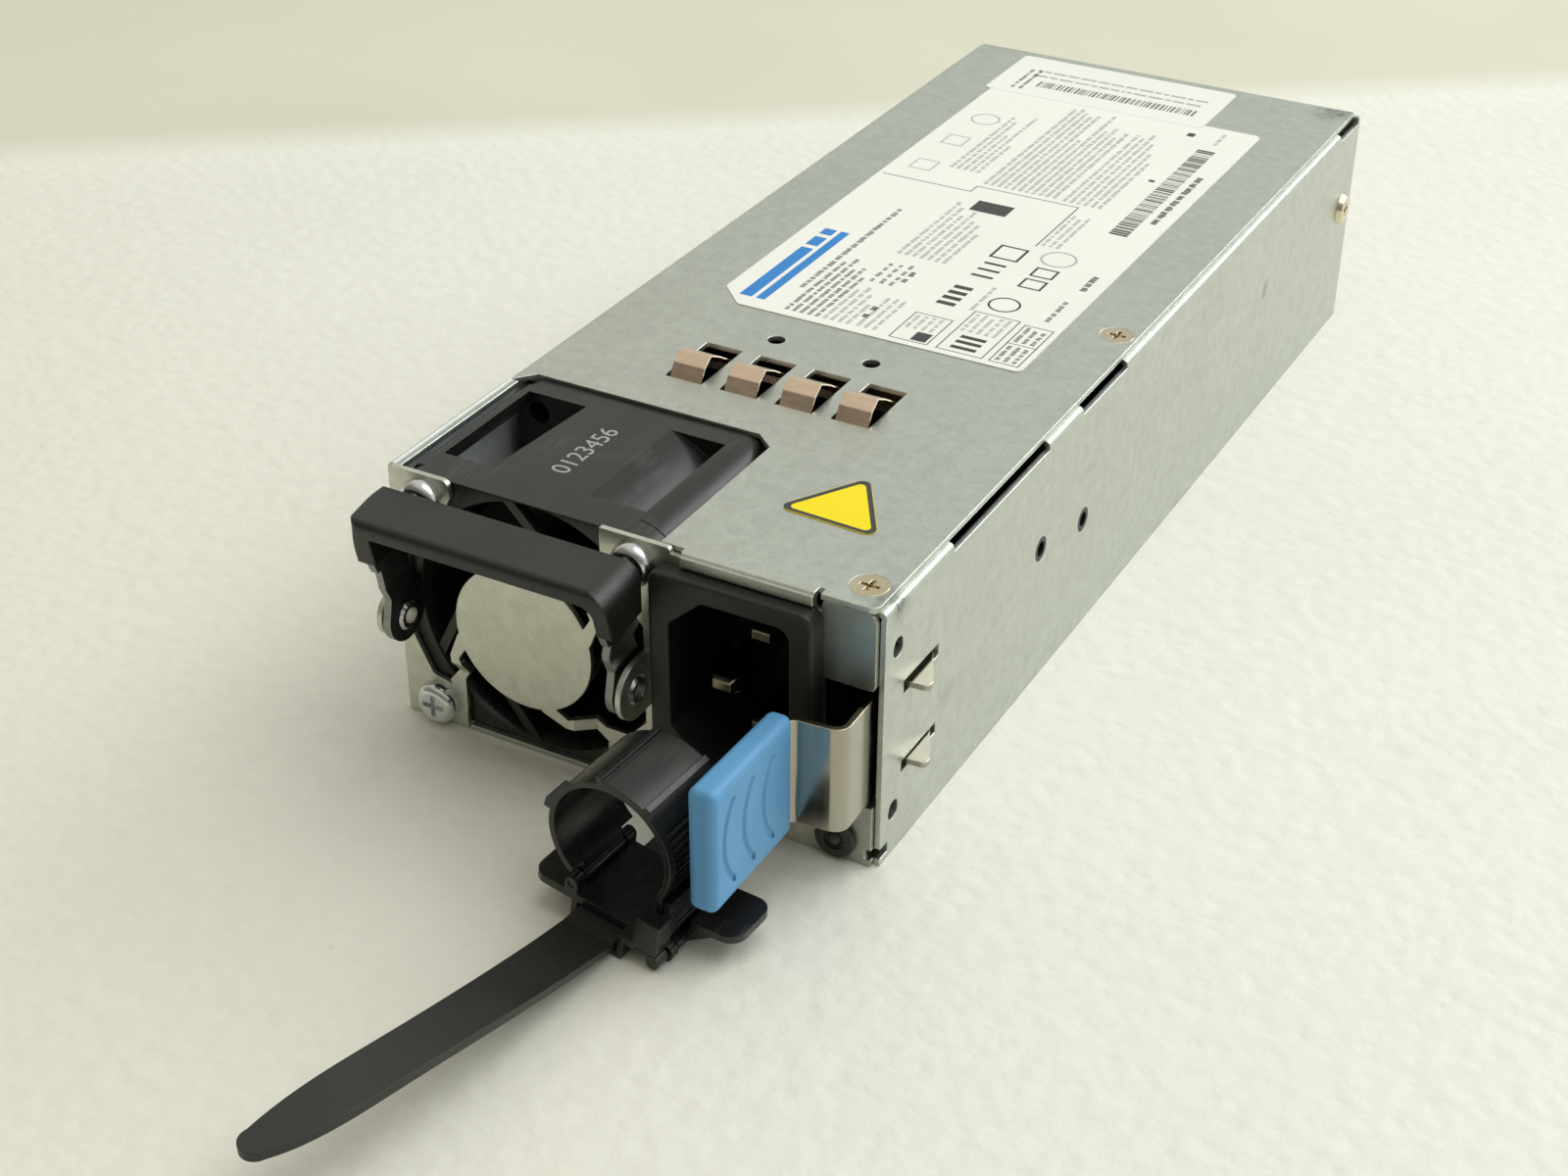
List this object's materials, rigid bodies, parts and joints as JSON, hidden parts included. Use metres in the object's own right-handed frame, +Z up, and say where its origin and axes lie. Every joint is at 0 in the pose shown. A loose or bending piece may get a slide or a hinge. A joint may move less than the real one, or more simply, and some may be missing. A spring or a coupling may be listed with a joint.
{
  "type": "hot swap server power supply",
  "caption": "Slim hot-swap server power supply module: steel case, front fan, pull handle, side release latch, AC inlet with cord clamp, rear card-edge connector.",
  "frame": {"origin": "centre of the case's underside, on the surface it rests on", "axes": "+Z up; +Y from the front face (fan, handle, inlet) to the rear card edge; +X to the latch side, so -Y looks at the user"},
  "size_m": [0.0762, 0.2785, 0.0417],
  "materials": {
    "steel_case": "galvanised sheet, faint spangle",
    "steel_plate": "galvanised sheet, satin",
    "steel_cover": "galvanised sheet, faint spangle",
    "gold_zinc": "yellow zinc plating",
    "black_pbt": "moulded, fine satin",
    "zinc": "bright zinc",
    "black_rotor": "moulded",
    "bright_steel": "ground",
    "ferrite": "sintered",
    "lamination": "stacked laminations",
    "white_nylon": "moulded",
    "red_wire": "insulated wire",
    "dark_steel": "dark zinc",
    "grip_plastic": "fine spark texture",
    "inlet_plastic": "fine texture",
    "tin": "plated brass",
    "wire_black": "insulated wire",
    "led_black": "satin",
    "led_clear": "diffused",
    "nickel": "polished nickel",
    "blue_tab": "satin",
    "dark_rivet": "dark",
    "bronze": "tinned bronze strip",
    "label_white": "printed film",
    "label_yellow": "printed film",
    "fr4": "green solder mask",
    "brass_standoff": "turned",
    "clear_film": "film",
    "gold": "gold plated",
    "core_green": "coated ferrite",
    "copper": "enamelled",
    "cap_yellow": "moulded",
    "fuse_glass": "ceramic",
    "relay_black": "moulded",
    "chip_black": "moulded",
    "heatsink": "extruded",
    "cap_sleeve": "sleeve",
    "tape_yellow": "tape",
    "can": "can",
    "black_nylon": "satin nylon",
    "clamp_plastic": "semi-gloss nylon"
  },
  "bodies": {
    "case": {"chassis_tray": "steel_case", "front_plate": "steel_plate", "top_cover": "steel_cover", "cover_screws": "gold_zinc", "side_screws": "gold_zinc", "fan_frame": "black_pbt", "fan_screws": "zinc", "fan_bearings": "bright_steel", "fan_stator": "lamination", "fan_plug": "white_nylon", "fan_cable": "red_wire", "handle_pins": "bright_steel", "inlet_housing": "inlet_plastic", "inlet_pins": "tin", "inlet_wires": "wire_black", "led_holder": "led_black", "led_lens": "led_clear", "latch_rivets": "dark_rivet", "ground_strip": "bronze", "rating_label": "label_white", "serial_label": "label_white", "yellow_sticker": "label_yellow", "main_board": "fr4", "board_standoffs": "brass_standoff", "board_screws": "zinc", "insulation_sheet": "clear_film", "edge_contacts": "gold", "choke_core": "core_green", "choke_winding": "copper", "x_capacitors": "cap_yellow", "fuse": "fuse_glass", "relay": "relay_black", "bridge_rectifier": "chip_black", "primary_heatsink": "heatsink", "power_transistors": "chip_black", "inductor_core": "ferrite", "inductor_winding": "copper", "bulk_capacitors": "cap_sleeve", "transformer_core": "ferrite", "transformer_winding": "tape_yellow", "secondary_heatsink": "heatsink", "output_capacitors": "can", "control_board": "fr4", "control_chips": "chip_black", "retainer_strap": "black_nylon", "strap_anchor": "black_nylon"},
    "fan": {"fan_rotor": "black_rotor", "fan_shaft": "bright_steel", "rotor_magnet": "ferrite"},
    "handle": {"handle_frame": "dark_steel", "handle_grip": "grip_plastic"},
    "latch": {"latch_spring": "nickel", "latch_tab": "blue_tab"},
    "ground": {"ground_fingers": "bronze"},
    "clamp": {"clamp_base": "clamp_plastic"},
    "band": {"clamp_band": "clamp_plastic"},
    "lever": {"clamp_lever": "clamp_plastic"}
  },
  "joints": [
    {"name": "fan_spin", "type": "hinge", "parent": "case", "child": "fan", "pos_m": [-0.01435, -0.08, 0.0197], "axis": [0, 1, 0], "continuous": true},
    {"name": "handle_swing", "type": "hinge", "parent": "case", "child": "handle", "pos_m": [-0.01565, -0.0957, 0.0186], "axis": [-1, 0, 0], "range_deg": [-90, 0]},
    {"name": "latch_press", "type": "hinge", "parent": "case", "child": "latch", "pos_m": [0.03525, -0.03645, 0.0179], "axis": [0, 0, -1], "range_deg": [0, 0.8], "stiffness_Nm_per_rad": 6, "springref_deg": -1.15},
    {"name": "ground_press", "type": "hinge", "parent": "case", "child": "ground", "pos_m": [-0.0016, -0.0542, 0.03745], "axis": [-1, 0, 0], "range_deg": [0, 12], "stiffness_Nm_per_rad": 0.05, "springref_deg": -2.86},
    {"name": "clamp_slide", "type": "slide", "parent": "case", "child": "clamp", "axis": [-0.061, -0.9981, 0], "range_m": [-0.01, 0.0015]},
    {"name": "band_open", "type": "hinge", "parent": "clamp", "child": "band", "pos_m": [0.00926, -0.1139, 0.00628], "axis": [-0.061, -0.9981, 0], "range_deg": [0, 60]},
    {"name": "lever_release", "type": "hinge", "parent": "clamp", "child": "lever", "pos_m": [0.02254, -0.11471, 0.00144], "axis": [-0.061, -0.9981, 0], "range_deg": [0, 5], "stiffness_Nm_per_rad": 0.05, "springref_deg": -2.86}
  ]
}
